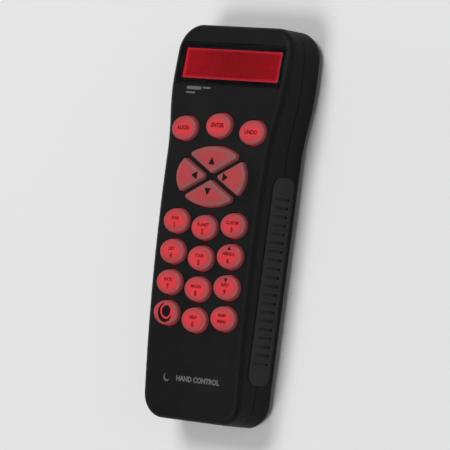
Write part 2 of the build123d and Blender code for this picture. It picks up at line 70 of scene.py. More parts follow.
class Shade:
    """A number that changes over a surface, so that its maths reads as arithmetic."""

    def __init__(self, finish, socket):
        self.finish = finish
        self.socket = socket

    def maths(self, operation, first, second=0.0, third=0.0):
        values = {0: first, 1: second, 2: third}
        return self.finish.node("ShaderNodeMath", {"operation": operation}, values)

    def __add__(self, other):
        return self.maths("ADD", self, other)

    def __sub__(self, other):
        return self.maths("SUBTRACT", self, other)

    def __rsub__(self, other):
        return self.maths("SUBTRACT", other, self)

    def __mul__(self, other):
        return self.maths("MULTIPLY", self, other)

    def __truediv__(self, other):
        return self.maths("DIVIDE", self, other)

    def __gt__(self, other):
        return self.maths("GREATER_THAN", self, other)

    def __lt__(self, other):
        return self.maths("LESS_THAN", self, other)

    def __mod__(self, other):
        return self.maths("FLOORED_MODULO", self, other)

    def __abs__(self):
        return self.maths("ABSOLUTE", self)

    __radd__ = __add__
    __rmul__ = __mul__

    def held(self):
        """The number kept between 0 and 1."""
        return self.finish.node("ShaderNodeClamp", {}, {"Value": self})


class Finish:
    """The finish of one piece or of a group of like pieces."""

    def __init__(self, name):
        self.material = bpy.data.materials.new(name)
        self.material.use_nodes = True
        self.tree = self.material.node_tree
        self.shader = self.tree.nodes["Principled BSDF"]
        self.place = self.node("ShaderNodeTexCoord", {}, {}, "Object")
        apart = self.tree.nodes.new("ShaderNodeSeparateXYZ")
        self.tree.links.new(self.place.socket, apart.inputs[0])
        self.x, self.y, self.z = (Shade(self, way) for way in apart.outputs)

    def node(self, kind, settings, values, output=0):
        """A node with its settings made first and its sockets then filled or linked."""
        made = self.tree.nodes.new(kind)
        for name, setting in settings.items():
            if name == "stops":
                for stop, (position, colour) in zip(made.color_ramp.elements, setting):
                    stop.position = position
                    stop.color = colour
            else:
                setattr(made, name, setting)
        for name, value in values.items():
            self.fill(made.inputs[name], value)
        return Shade(self, made.outputs[output])

    def fill(self, socket, value):
        """Link a changing number to a socket, or set a constant on it."""
        if isinstance(value, Shade):
            self.tree.links.new(value.socket, socket)
        else:
            socket.default_value = value

    def noise(self, scale, detail=3.0, roughness=0.5):
        """A cloud of soft spots. A larger scale makes them finer."""
        values = {"Scale": scale, "Detail": detail, "Roughness": roughness}
        values["Vector"] = self.place
        return self.node("ShaderNodeTexNoise", {}, values)

    def mix(self, mask, first, second):
        """One colour where the mask is 0, the other where it is 1."""
        values = {0: mask, 6: first, 7: second}
        return self.node("ShaderNodeMix", {"data_type": "RGBA"}, values, 2)

    def bumps(self, height, distance, strength):
        """A relief of that depth, for light only."""
        values = {"Height": height, "Distance": distance, "Strength": strength}
        return self.node("ShaderNodeBump", {}, values)

    def surface(self, values):
        """Fill the shader's own sockets, which ends the finish."""
        for name, value in values.items():
            self.fill(self.shader.inputs[name], value)
        return self.material


def dress(material, *names):
    """Give CAD pieces a finish through their own material slots."""
    for name in names:
        for slot in nodes[name].material_slots:
            slot.material = material


shell_black = (0.0045, 0.0045, 0.0050, 1)
shell_worn = (0.0100, 0.0100, 0.0104, 1)
abs_plastic = Finish("textured_abs")
sparks = abs_plastic.noise(2600, 2.0, 0.6)
handling = abs_plastic.noise(38, 4.0, 0.55)
dust = (abs_plastic.noise(5200, 1.0) - 0.70).held() * 2.4
abs_plastic.surface({
    "Base Color": abs_plastic.mix(((handling - 0.45) * 1.6).held(), shell_black, shell_worn),
    "Roughness": (0.40 + handling * 0.16 + sparks * 0.12 + dust).held(),
    "Normal": abs_plastic.bumps(sparks, 0.03 * mm, 0.75),
    "Specular IOR Level": 0.13,
})
dress(abs_plastic.material, "front_shell", "rear_shell")

# Side grips: black thermoplastic rubber moulded into a recess of each side, in
# ribs that the fingers close on. Matt, slightly greyer than the shells, with dust
# in random patches.
grip_black = (0.014, 0.014, 0.015, 1)
grip_dusty = (0.030, 0.029, 0.028, 1)
grip_rubber = Finish("grip_rubber")
pores = grip_rubber.noise(3400, 3.0, 0.7)
grime = grip_rubber.noise(90, 5.0, 0.6)
grip_rubber.surface({
    "Base Color": grip_rubber.mix((grime * 1.5 - 0.4).held(), grip_black, grip_dusty),
    "Roughness": (0.66 + grime * 0.25).held(),
    "Normal": grip_rubber.bumps(pores, 0.05 * mm, 0.8),
    "Specular IOR Level": 0.35,
})
dress(grip_rubber.material, "left_grip", "right_grip")

# Keys: fifteen ovals and the four quarters of the direction pad, moulded in soft
# translucent silicone, with a rounded rim, a slightly crowned top, a flange that
# keeps them in the face and a plunger. Red lamps under the mat light them through.
crest_y = -10 * mm              # where the face is highest
arc_radius = 850 * mm
key_proud = 1.8 * mm            # middle of a key above the face
arc_centre_z = cad_box[1].z - key_proud - arc_radius
key_flange = 0.75 * mm          # how far it stands out all round
flange_thick = 0.9 * mm
flange_lift = 1.1 * mm          # its underside above the mat
rim_round = 1.1 * mm
crown = 0.40 * mm
plunger_radius = 2.6 * mm
plunger_bevel = 0.25 * mm
points_round = 96
roll_steps = 6
crown_rings = (0.90, 0.78, 0.62, 0.44, 0.26, 0.12)
pad_cross = radians(27.7)       # slots of the cross from the x axis
pad_slot = 2.5 * mm
pad_corner = 1.3 * mm
side_plunger = 12.5 * mm        # plungers of the pad from its middle
end_plunger = 7.6 * mm
wall_mark = -1.0                # marks the walls, where 0 to 1 marks the top
search_reach = 40 * mm
search_steps = 26


def face_height(y, lift=0.0):
    """Height of the long curve of the face, or of a surface above it."""
    return arc_centre_z + sqrt((arc_radius + lift) ** 2 - (y - crest_y) ** 2)


def oval_distance(x, y, half_x, half_y):
    """How far a point is outside an oval, less than 0 inside it."""
    size = hypot(x / half_x, y / half_y)
    slope = hypot(x / half_x**2, y / half_y**2)
    if slope == 0:
        return -min(half_x, half_y)
    return size * (size - 1) / slope


def round_corner(first, second):
    """How far a point is outside the corner of two sides, each a distance and a way out."""
    (one, way), (two, other) = first, second
    lean = way.dot(other)
    if one > lean * two and two > lean * one:
        return sqrt((one**2 + two**2 - 2 * lean * one * two) / (1 - lean**2))
    return max(one, two)


class Key:
    """One key's outline, and the height of its crowned top."""

    def __init__(self, name):
        self.name = name
        low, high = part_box(name)
        self.low = low.z
        self.centre = (low + high) / 2
        self.plunger = Vector((self.centre.x, self.centre.y))
        self.half = ((high.x - low.x) / 2 - key_flange, (high.y - low.y) / 2 - key_flange)
        self.cuts = []
        self.corner = 0.0
        self.deepest = min(self.half)

    def quarter(self, turn, half_angle, centre, half, plunger):
        """Make this key one quarter of the direction pad."""
        self.centre = centre
        self.half = half
        self.cuts = [(sign, turn + sign * half_angle) for sign in (-1, 1)]
        self.corner = pad_corner
        self.plunger = Vector((centre.x, centre.y)) + plunger * Vector((cos(turn), sin(turn)))
        self.deepest = -self.distance(*self.plunger)

    def distance(self, x, y):
        """How far a point is outside the key's outline, less than 0 inside it."""
        x, y = x - self.centre.x, y - self.centre.y
        rim = oval_distance(x, y, *self.half)
        if not self.cuts:
            return rim
        way = Vector((x / self.half[0] ** 2, y / self.half[1] ** 2)).normalized()
        sides = [(rim + self.corner, way)]
        for sign, edge in self.cuts:
            way = sign * Vector((-sin(edge), cos(edge)))
            sides.append((way.dot((x, y)) + pad_slot / 2 + self.corner, way))
        pairs = ((0, 1), (0, 2), (1, 2))
        return max(round_corner(sides[one], sides[two]) for one, two in pairs) - self.corner

    def inward(self, x, y):
        """0 at the rim, 1 at the middle."""
        return min(1.0, max(0.0, -self.distance(x, y) / self.deepest))

    def top(self, x, y):
        """Height of the crowned top, lowest at the rim."""
        return face_height(y, key_proud) - crown * (1 - self.inward(x, y)) ** 2

    def outline(self, inset):
        """The points all round where the outline is drawn in by inset."""
        line = []
        for step in range(points_round):
            way = Vector((cos(2 * pi * step / points_round), sin(2 * pi * step / points_round)))
            near, far = 0.0, search_reach
            for halving in range(search_steps):
                middle = (near + far) / 2
                if self.distance(*(self.plunger + way * middle)) < -inset:
                    near = middle
                else:
                    far = middle
            line.append(self.plunger + way * near)
        return line


def skin(name, rings, smooth=True):
    """A closed mesh through rings of points. A ring of one point closes an end."""
    mesh = bpy.data.meshes.new(name)
    work = bmesh.new()
    loops = [[work.verts.new(point) for point in ring] for ring in rings]
    for lower, upper in zip(loops, loops[1:]):
        count = max(len(lower), len(upper))
        for step in range(count):
            after = (step + 1) % count
            if len(lower) == 1:
                corners = (lower[0], upper[after], upper[step])
            elif len(upper) == 1:
                corners = (lower[step], lower[after], upper[0])
            else:
                corners = (lower[step], lower[after], upper[after], upper[step])
            work.faces.new(corners)
    bmesh.ops.recalc_face_normals(work, faces=work.faces)
    for face in work.faces:
        face.smooth = smooth
    work.to_mesh(mesh)
    work.free()
    return mesh


def add_piece(name, mesh, material=None):
    """Put a finished mesh into the scene as a piece."""
    piece = bpy.data.objects.new(name, mesh)
    bpy.context.scene.collection.objects.link(piece)
    if material:
        mesh.materials.clear()
        mesh.materials.append(material)
    return piece


gap_glow = (0.95, 0.006, 0.010, 1)


def lit_silicone(name, rim, body, glow, glow_rim, power):
    """Frosted silicone lit from below: brightest in the middle, red hot in the gaps."""
    finish = Finish(name)
    inward = finish.node("ShaderNodeAttribute", {"attribute_name": "inward"}, {}, "Fac")
    cloud = finish.noise(150, 2.0, 0.5)
    patch = finish.noise(62, 1.0, 0.5)
    frost = finish.noise(4200, 2.0, 0.6)
    # heart also turns the base colour from the pale rim to the deep red middle: painted light of the
    # lamps below, on the same mask as the glow
    heart = (inward * 1.7 + cloud * 0.9 - 0.45).held()
    wall = (inward * -1.6).held()
    light = (0.30 + heart * 0.55 + patch * 0.55) * power
    colour = finish.mix(wall, finish.mix(heart, glow_rim, glow), gap_glow)
    lit = finish.node(
        "ShaderNodeVectorMath", {"operation": "SCALE"}, {"Vector": colour, "Scale": light}
    )
    finish.surface({
        "Base Color": finish.mix(heart, rim, body),
        "Roughness": 0.42 + frost * 0.2,
        "Normal": finish.bumps(frost, 0.02 * mm, 0.6),
        "Emission Color": lit,
        "Emission Strength": 1.0,
        "Specular IOR Level": 0.4,
    })
    return finish.material


oval_silicone = lit_silicone(
    "lit_silicone",
    rim=(0.170, 0.050, 0.052, 1),
    body=(0.160, 0.016, 0.020, 1),
    glow=(0.640, 0.014, 0.024, 1),
    glow_rim=(0.240, 0.018, 0.024, 1),
    power=0.68,
)
pad_silicone = lit_silicone(
    "lit_pad_silicone",
    rim=(0.180, 0.072, 0.070, 1),
    body=(0.150, 0.028, 0.030, 1),
    glow=(0.340, 0.012, 0.020, 1),
    glow_rim=(0.160, 0.018, 0.022, 1),
    power=0.64,
)
keys = {joint["child"]: Key(joint["child"]) for joint in frame["joints"]}
pad_low, pad_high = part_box("arrow_down")[0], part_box("arrow_up")[1]
pad_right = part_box("arrow_right")[1].x - key_flange
pad_centre = Vector((0, (pad_low.y + pad_high.y) / 2, 0))
pad_half = (pad_right, (pad_high.y - pad_low.y) / 2 - key_flange)
arrows = {
    "arrow_right": (0, pad_cross, side_plunger),
    "arrow_up": (pi / 2, pi / 2 - pad_cross, end_plunger),
    "arrow_left": (pi, pad_cross, side_plunger),
    "arrow_down": (3 * pi / 2, pi / 2 - pad_cross, end_plunger),
}
for name, (turn, half_angle, plunger) in arrows.items():
    keys[name].quarter(turn, half_angle, pad_centre, pad_half, plunger)

flange_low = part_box("keypad_mat")[1].z + flange_lift
flange_top = flange_low + flange_thick
slack = 0.001 * mm
for name, key in keys.items():
    middle = key.plunger
    stem = [
        Vector((cos(2 * pi * step / points_round), sin(2 * pi * step / points_round)))
        for step in range(points_round)
    ]
    rings = [[(*middle, key.low)]]
    for radius, z in (
        (plunger_radius - plunger_bevel, key.low),
        (plunger_radius, key.low + plunger_bevel),
        (plunger_radius, flange_low),
    ):
        rings.append([(*(middle + way * radius), z) for way in stem])
    skirt = key.outline(-key_flange)
    edge = key.outline(0)
    rings.append([(*point, flange_low) for point in skirt])
    rings.append([(*point, flange_top) for point in skirt])
    rings.append([(*point, flange_top) for point in edge])
    for step in range(roll_steps + 1):
        turn = pi / 2 * step / roll_steps
        line = key.outline(rim_round * (1 - cos(turn)))
        fall = rim_round * (1 - sin(turn))
        rings.append([(*point, key.top(*point) - fall) for point in line])
    rim = key.outline(rim_round)
    for share in crown_rings:
        line = [middle + (point - middle) * share for point in rim]
        rings.append([(*point, key.top(*point)) for point in line])
    rings.append([(*middle, key.top(*middle))])
    cap = skin(name + "_cap", rings)
    inward = cap.attributes.new("inward", "FLOAT", "POINT")
    for vertex, value in zip(cap.vertices, inward.data):
        value.value = key.inward(vertex.co.x, vertex.co.y)
        if vertex.co.z < flange_top + slack:
            value.value = wall_mark
    piece = add_piece(name + "_cap", cap, pad_silicone if key.cuts else oval_silicone)
    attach(piece, name)
    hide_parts(name)

# Key printing: dark ink laid on the crown of each key. The number keys have a word
# over a figure, the pad has triangles, and the lamp key has a disc and a crescent.
key_ink_lift = 0.045 * mm       # top of the ink above the key
key_ink_sink = 0.06 * mm        # its underside inside the key
ink_grid = 0.8 * mm             # cuts that let it follow the crown
letter_swell = 0.045            # makes the strokes bolder
weld_reach = 1e-6


def letters(text, height):
    """Letters of that height as a flat mesh about the origin."""
    curve = bpy.data.curves.new("letters", "FONT")
    curve.body = text
    curve.align_x = "CENTER"
    curve.align_y = "CENTER"
    curve.size = 1.0
    curve.offset = letter_swell
    curve.resolution_u = 3
    holder = bpy.data.objects.new("letters", curve)
    bpy.context.scene.collection.objects.link(holder)
    graph = bpy.context.evaluated_depsgraph_get()
    mesh = bpy.data.meshes.new_from_object(holder.evaluated_get(graph))
    bpy.data.objects.remove(holder)
    heights = [vertex.co.y for vertex in mesh.vertices]
    mesh.transform(Matrix.Scale(height / (max(heights) - min(heights)), 4))
    return mesh


def patch_mesh(points):
    """A flat shape inside a line of points, as a mesh."""
    mesh = bpy.data.meshes.new("patch")
    mesh.from_pydata([(x, y, 0) for x, y in points], [], [tuple(range(len(points)))])
    return mesh


def bar(width, height):
    """A printed bar with rounded ends."""
    points = []
    for side in (1, -1):
        for step in range(7):
            turn = pi / 2 * side * (step / 3 - 1)
            x = side * (width / 2 - height / 2) + height / 2 * cos(turn) * side
            points.append((x, height / 2 * sin(turn)))
    return patch_mesh(points)


def disc(radius, count=36):
    """A printed disc."""
    turns = [2 * pi * step / count for step in range(count)]
    return patch_mesh([(radius * cos(turn), radius * sin(turn)) for turn in turns])


def moon(radius, bite, shift, count=26):
    """A crescent that bulges to the lower left: a disc with another cut out of it."""
    way = radians(225)
    reach = (shift**2 + radius**2 - bite**2) / (2 * shift)
    outer_turn = pi - abs(asin(sqrt(1 - (reach / radius) ** 2)))
    inner_turn = abs(asin(radius * sqrt(1 - (reach / radius) ** 2) / bite))
    outer = []
    inner = []
    for step in range(count + 1):
        turn = way + outer_turn * (2 * step / count - 1)
        outer.append((radius * cos(turn), radius * sin(turn)))
        turn = way - inner_turn * (2 * step / count - 1)
        middle = Vector((cos(way), sin(way))) * -shift
        inner.append((middle.x + bite * cos(turn), middle.y + bite * sin(turn)))
    return patch_mesh(outer + inner[1:-1])


def triangle(size, turn):
    """A triangle that points along turn, with slightly rounded corners."""
    rounding = 0.14
    points = []
    for corner in range(3):
        out = turn + 2 * pi * corner / 3
        middle = Vector((cos(out), sin(out))) * size * (1 - rounding)
        for step in (-1, 0, 1):
            way = out + radians(50) * step
            points.append(tuple(middle + Vector((cos(way), sin(way))) * size * rounding))
    return patch_mesh(points)


def printing(name, marks, height_at, material, body, raised, sunk):
    """Closed thin prints of flat marks at their places, laid on a curved surface."""
    work = bmesh.new()
    for mark, (x, y) in marks:
        mark.transform(Matrix.Translation((x, y, 0)))
        work.from_mesh(mark)
    bmesh.ops.remove_doubles(work, verts=work.verts, dist=weld_reach)
    for axis in (0, 1):
        values = [vertex.co[axis] for vertex in work.verts]
        cut = min(values) + ink_grid
        while cut < max(values):
            place = Vector((0, 0, 0))
            place[axis] = cut
            normal = Vector((0, 0, 0))
            normal[axis] = 1
            everything = work.verts[:] + work.edges[:] + work.faces[:]
            bmesh.ops.bisect_plane(work, geom=everything, plane_co=place, plane_no=normal)
            cut += ink_grid
    bmesh.ops.triangulate(work, faces=work.faces)
    for face in work.faces:
        if face.normal.z < 0:
            face.normal_flip()
    grown = bmesh.ops.extrude_face_region(work, geom=work.faces[:])
    lower = {part for part in grown["geom"] if isinstance(part, bmesh.types.BMVert)}
    for vertex in work.verts:
        lift = -sunk if vertex in lower else raised
        vertex.co.z = height_at(vertex.co.x, vertex.co.y) + lift
    bmesh.ops.recalc_face_normals(work, faces=work.faces)
    mesh = bpy.data.meshes.new(name)
    work.to_mesh(mesh)
    work.free()
    piece = add_piece(name, mesh, material)
    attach(piece, body)


def print_on_key(name, marks, key, material):
    """Ink marks on the top of a key, which they travel with."""
    printing(name, marks, key.top, material, key.name, key_ink_lift, key_ink_sink)


def ink(name, colour, spread, glow=(0, 0, 0, 1), shine=0.4):
    """Printed ink: a little uneven, with a satin surface."""
    finish = Finish(name)
    grain = finish.noise(3000, 3.0, 0.6)
    finish.surface({
        "Base Color": finish.mix((grain * 1.4 - 0.3).held(), colour, spread),
        "Roughness": 0.45 + grain * 0.2,
        "Normal": finish.bumps(grain, 0.01 * mm, 0.5),
        "Emission Color": glow,
        "Emission Strength": 1.0,
        "Specular IOR Level": shine,
    })
    return finish.material


red_glow = (0.115, 0.0012, 0.0020, 1)
red_ink = ink(
    "dark_key_ink", (0.020, 0.002, 0.003, 1), (0.035, 0.004, 0.005, 1), red_glow, shine=0.15
)
black_ink = ink(
    "black_key_ink", (0.005, 0.002, 0.002, 1), (0.010, 0.004, 0.004, 1), shine=0.12
)
word_height = 2.1 * mm
figure_height = 2.5 * mm
small_height = 1.6 * mm
word_rise = 1.1 * mm            # the word above the middle of a number key
figure_fall = 2.2 * mm
line_rise = 1.4 * mm            # two lines above and below the middle
words = {
    "key_align": ["ALIGN"],
    "key_enter": ["ENTER"],
    "key_undo": ["UNDO"],
    "key_1": ["STAR", "1"],
    "key_2": ["PLANET", "2"],
    "key_3": ["CLUSTER", "3"],
    "key_4": ["LIST", "4"],
    "key_5": ["TOUR", "5"],
    "key_6": ["NEBULA", "6"],
    "key_7": ["RATE", "7"],
    "key_8": ["MOON", "8"],
    "key_9": ["INFO", "9"],
    "key_0": ["HELP", "0"],
    "key_menu": ["MAIN", "MENU"],
}
for name, lines in words.items():
    key = keys[name]
    x, y = key.centre.x, key.centre.y
    marks = []
    if len(lines) == 1:
        marks.append((letters(lines[0], word_height), (x, y)))
    elif lines[1].isdigit():
        marks.append((letters(lines[0], small_height), (x, y + word_rise)))
        marks.append((letters(lines[1], figure_height), (x, y - figure_fall)))
    else:
        marks.append((letters(lines[0], small_height), (x, y + line_rise)))
        marks.append((letters(lines[1], small_height), (x, y - line_rise)))
    print_on_key(name + "_print", marks, key, red_ink)

small_arrow = 1.15 * mm
arrow_rise = 3.6 * mm
for name, turn in (("key_6", pi / 2), ("key_9", -pi / 2)):
    key = keys[name]
    marks = [(triangle(small_arrow, turn), (key.centre.x, key.centre.y + arrow_rise))]
    print_on_key(name + "_arrow", marks, key, black_ink)

lamp_key = keys["key_light"]
lamp_x, lamp_y = lamp_key.centre.x, lamp_key.centre.y
lamp_marks = [
    (disc(2.75 * mm), (lamp_x + 0.8 * mm, lamp_y + 0.7 * mm)),
    (moon(radius=4.5 * mm, bite=3.9 * mm, shift=1.35 * mm), (lamp_x, lamp_y)),
]
print_on_key("key_light_moon", lamp_marks, lamp_key, black_ink)

pad_triangle = 2.1 * mm
side_reach = 9.3 * mm
end_reach = 6.7 * mm
pad_marks = {
    "arrow_right": side_reach,
    "arrow_left": side_reach,
    "arrow_up": end_reach,
    "arrow_down": end_reach,
}
for name, reach in pad_marks.items():
    turn = arrows[name][0]
    place = (pad_centre.x + reach * cos(turn), pad_centre.y + reach * sin(turn))
    print_on_key(name + "_print", [(triangle(pad_triangle, turn), place)], keys[name], black_ink)

# Display window: a clear acrylic plate bonded into the face over the liquid crystal
# display. Black paint on its underside leaves a clear window of two lines.
window_y = 73.75 * mm
window_tilt = asin((window_y - crest_y) / arc_radius)
window_seat = Matrix.Translation((0, window_y, face_height(window_y)))
window_frame = window_seat @ Matrix.Rotation(-window_tilt, 4, "X")
plate_half = (33.0 * mm, 10.0 * mm)
plate_corner = 2.0 * mm
plate_top = -0.1 * mm           # heights from the face
plate_low = -0.9 * mm
plate_bevel = 0.22 * mm
clear_half = (30.5 * mm, 7.15 * mm)
clear_corner = 0.5 * mm
paint_top = -0.90 * mm
paint_low = -0.93 * mm
corner_steps = 8
paint_weld = 1e-7


def rounded_box(half_x, half_y, corner, z):
    """A ring of points round a rectangle with rounded corners."""
    ring = []
    for turn, side_x, side_y in ((0, 1, 1), (pi / 2, -1, 1), (pi, -1, -1), (3 * pi / 2, 1, -1)):
        for step in range(corner_steps + 1):
            way = turn + pi / 2 * step / corner_steps
            x = side_x * (half_x - corner) + corner * cos(way)
            y = side_y * (half_y - corner) + corner * sin(way)
            ring.append((x, y, z))
    return ring


def plate_ring(inset, z):
    """The outline of the plate, drawn in by inset."""
    return rounded_box(plate_half[0] - inset, plate_half[1] - inset, plate_corner - inset, z)


plate = skin("display_window", [
    [(0, 0, plate_low)],
    plate_ring(plate_bevel, plate_low),
    plate_ring(0, plate_low + plate_bevel),
    plate_ring(0, plate_top - plate_bevel),
    plate_ring(plate_bevel, plate_top),
    [(0, 0, plate_top)],
], smooth=False)
plate.transform(window_frame)
acrylic = Finish("clear_acrylic")
smears = acrylic.noise(60, 4.0, 0.6)
acrylic.surface({
    "Base Color": (0.96, 0.95, 0.95, 1),
    "Roughness": 0.03 + smears * 0.05,
    "Transmission Weight": 1.0,
    "IOR": 1.22,
})
window = add_piece("display_window", plate, acrylic.material)
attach(window, "housing")
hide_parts("display_lens")

paint = skin("window_border", [
    rounded_box(*clear_half, clear_corner, paint_low),
    plate_ring(plate_bevel, paint_low),
    plate_ring(plate_bevel, paint_top),
    rounded_box(*clear_half, clear_corner, paint_top),
    rounded_box(*clear_half, clear_corner, paint_low),
], smooth=False)
merged = bmesh.new()
merged.from_mesh(paint)
bmesh.ops.remove_doubles(merged, verts=merged.verts, dist=paint_weld)
bmesh.ops.recalc_face_normals(merged, faces=merged.faces)
merged.to_mesh(paint)
merged.free()
paint.transform(window_frame)
border_paint = ink(
    "window_paint", (0.002, 0.002, 0.002, 1), (0.004, 0.004, 0.004, 1), shine=0.1
)
border = add_piece("window_border", paint, border_paint)
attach(border, "housing")

# Liquid crystal display: a glass cell lit from behind by red lamps in a plastic
# light box, in a black steel frame. Its 16 by 2 places of 5 by 8 dots stay faintly
# darker than the ground when nothing is shown.
cell_half_x = 30.5 * mm
cell_half_y = 7.1 * mm
cell_dim = (0.175, 0.0012, 0.0030, 1)
cell_bright = (0.44, 0.0015, 0.010, 1)
cell_rim = (0.46, 0.020, 0.036, 1)
cell_glass = Finish("lit_display_glass")
side_on = abs(cell_glass.x) / cell_half_x
edge_x = ((side_on - 0.93) * 14).held()
edge_y = ((abs(cell_glass.y - window_y) / cell_half_y - 0.80) * 5).held()
rim_light = (edge_x + edge_y).held()
spread = cell_glass.noise(34, 1.0, 0.5)
hot_ends = ((side_on - 0.35) * 1.3).held() * 0.55 + spread * 0.45
cell_ground = cell_glass.mix(hot_ends.held(), cell_dim, cell_bright)
cell_edge = cell_glass.mix(rim_light, cell_ground, cell_rim)
cell_glass.surface({
    "Base Color": (0.020, 0.001, 0.002, 1),
    "Roughness": 0.10 + spread * 0.06,
    "Emission Color": cell_edge,
    "Emission Strength": 1.0,
    "Specular IOR Level": 0.15,
})
dress(cell_glass.material, "display_glass")

frame_black = Finish("blackened_steel_frame")
rolled = frame_black.noise(700, 3.0, 0.6)
frame_black.surface({
    "Base Color": frame_black.mix(rolled, (0.010, 0.010, 0.011, 1), (0.020, 0.020, 0.021, 1)),
    "Metallic": 0.6,
    "Roughness": 0.38 + rolled * 0.2,
    "Normal": frame_black.bumps(rolled, 0.02 * mm, 0.4),
})
dress(frame_black.material, "display_frame")


class Tree:
    """A Geometry Nodes group with named inputs, and nodes made in one call each."""

    def __init__(self, name, inputs):
        self.group = bpy.data.node_groups.new(name, "GeometryNodeTree")
        ports = self.group.interface
        ports.new_socket("Geometry", in_out="INPUT", socket_type="NodeSocketGeometry")
        ports.new_socket("Geometry", in_out="OUTPUT", socket_type="NodeSocketGeometry")
        self.names = {}
        for label, kind in inputs.items():
            made = ports.new_socket(label, in_out="INPUT", socket_type=kind)
            self.names[label] = made.identifier
        self.given = self.group.nodes.new("NodeGroupInput")
        self.result = self.group.nodes.new("NodeGroupOutput")

    def node(self, kind, settings, values, output=0):
        made = self.group.nodes.new(kind)
        for name, setting in settings.items():
            setattr(made, name, setting)
        for name, value in values.items():
            if isinstance(value, bpy.types.NodeSocket):
                self.group.links.new(value, made.inputs[name])
            else:
                made.inputs[name].default_value = value
        return made.outputs[output]

    def maths(self, operation, first, second):
        return self.node("ShaderNodeMath", {"operation": operation}, {0: first, 1: second})

    def finish(self, geometry, material):
        """Make the copies real, give them their material, and end the tree."""
        real = self.node("GeometryNodeRealizeInstances", {}, {"Geometry": geometry})
        dressed = self.node("GeometryNodeSetMaterial", {}, {
            "Geometry": real, "Material": self.given.outputs[material],
        })
        self.group.links.new(dressed, self.result.inputs[0])

    def grow(self, name, start, values):
        """Run the tree on a start mesh and return the plain mesh that it makes."""
        holder = add_piece(name, start)
        modifier = holder.modifiers.new("grow", "NODES")
        modifier.node_group = self.group
        for label, value in values.items():
            modifier[self.names[label]] = value
        graph = bpy.context.evaluated_depsgraph_get()
        mesh = bpy.data.meshes.new_from_object(holder.evaluated_get(graph))
        holder.modifiers.remove(modifier)
        bpy.data.objects.remove(holder)
        mesh.name = name
        return mesh


dots_across, dots_down = 5, 8
places_across, places_down = 16, 2
dots = Tree("display_dots", {
    "Dot Width": "NodeSocketFloat",
    "Dot Height": "NodeSocketFloat",
    "Dot Thickness": "NodeSocketFloat",
    "Dot Gap": "NodeSocketFloat",
    "Place Pitch X": "NodeSocketFloat",
    "Place Pitch Y": "NodeSocketFloat",
    "Ink": "NodeSocketMaterial",
})
asked = dots.given.outputs
dot_size = dots.node("ShaderNodeCombineXYZ", {}, {
    "X": asked["Dot Width"], "Y": asked["Dot Height"], "Z": asked["Dot Thickness"],
})
dot = dots.node("GeometryNodeMeshCube", {}, {"Size": dot_size})
dot_step_x = dots.maths("ADD", asked["Dot Width"], asked["Dot Gap"])
dot_step_y = dots.maths("ADD", asked["Dot Height"], asked["Dot Gap"])
place_points = dots.node("GeometryNodeMeshGrid", {}, {
    "Size X": dots.maths("MULTIPLY", dot_step_x, dots_across - 1),
    "Size Y": dots.maths("MULTIPLY", dot_step_y, dots_down - 1),
    "Vertices X": dots_across,
    "Vertices Y": dots_down,
})
one_place = dots.node("GeometryNodeInstanceOnPoints", {}, {
    "Points": place_points, "Instance": dot,
})
all_points = dots.node("GeometryNodeMeshGrid", {}, {
    "Size X": dots.maths("MULTIPLY", asked["Place Pitch X"], places_across - 1),
    "Size Y": asked["Place Pitch Y"],
    "Vertices X": places_across,
    "Vertices Y": places_down,
})
all_places = dots.node("GeometryNodeInstanceOnPoints", {}, {
    "Points": all_points, "Instance": one_place,
})
dots.finish(all_places, "Ink")

cell_top = -1.4 * mm            # top of the glass from the face
dot_lift = 0.011 * mm
dot_dim = (0.170, 0.0010, 0.0026, 1)
dot_bright = (0.270, 0.0012, 0.006, 1)
resting_dot = Finish("resting_dot")
dot_spread = resting_dot.noise(34, 1.0, 0.5)
resting_dot.surface({
    "Base Color": (0.030, 0.001, 0.002, 1),
    "Roughness": 0.3 + dot_spread * 0.1,
    "Emission Color": resting_dot.mix(dot_spread, dot_dim, dot_bright),
    "Emission Strength": 1.0,
    "Specular IOR Level": 0.1,
})
dot_mesh = dots.grow("display_dots", bpy.data.meshes.new("start"), {
    "Dot Width": 0.55 * mm,
    "Dot Height": 0.60 * mm,
    "Dot Thickness": 0.02 * mm,
    "Dot Gap": 0.05 * mm,
    "Place Pitch X": 3.55 * mm,
    "Place Pitch Y": 6.0 * mm,
    "Ink": resting_dot.material,
})
dot_mesh.transform(window_frame @ Matrix.Translation((0, 0, cell_top + dot_lift)))
dot_piece = add_piece("display_dots", dot_mesh)
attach(dot_piece, "housing")

# Face printing: pale grey ink on the face, a small plain mark under the display and
# one line of letters near the bottom end.
grey_ink = ink("grey_face_ink", (0.095, 0.095, 0.100, 1), (0.150, 0.150, 0.155, 1))
face_ink_depth = 0.02 * mm      # above the face and again below it
title_height = 2.7 * mm
title_y = -73 * mm
face_marks = [
    (letters("HAND CONTROL", title_height), (4.4 * mm, title_y)),
    (moon(radius=1.9 * mm, bite=1.7 * mm, shift=0.7 * mm), (-15.5 * mm, title_y)),
    (bar(9.5 * mm, 1.5 * mm), (-20.6 * mm, 61.9 * mm)),
    (bar(6.0 * mm, 0.8 * mm), (-22.4 * mm, 59.7 * mm)),
    (bar(5.0 * mm, 0.8 * mm), (-12.6 * mm, 62.2 * mm)),
]


def face_top(x, y):
    """Height of the face, which is the same all across."""
    return face_height(y)


printing(
    "face_print", face_marks, face_top, grey_ink, "housing", face_ink_depth, face_ink_depth
)

# Case screws: six self-tapping steel screws with a cross recess, black zinc plated,
# sunk in round wells of the rear shell.
screw_pairs = ((21 * mm, -66 * mm), (23 * mm, 9.6 * mm), (27.5 * mm, 54.2 * mm))
screw_places = [(side * x, y) for x, y in screw_pairs for side in (-1, 1)]
screw_low, screw_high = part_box("case_screws")
head_radius = 2.4 * mm
head_height = 1.8 * mm
shank_radius = 1.25 * mm
thread_depth = 0.28 * mm
thread_pitch = 0.55 * mm
recess_half_width = 0.32 * mm
recess_half_length = 1.45 * mm
recess_depth = 1.15 * mm

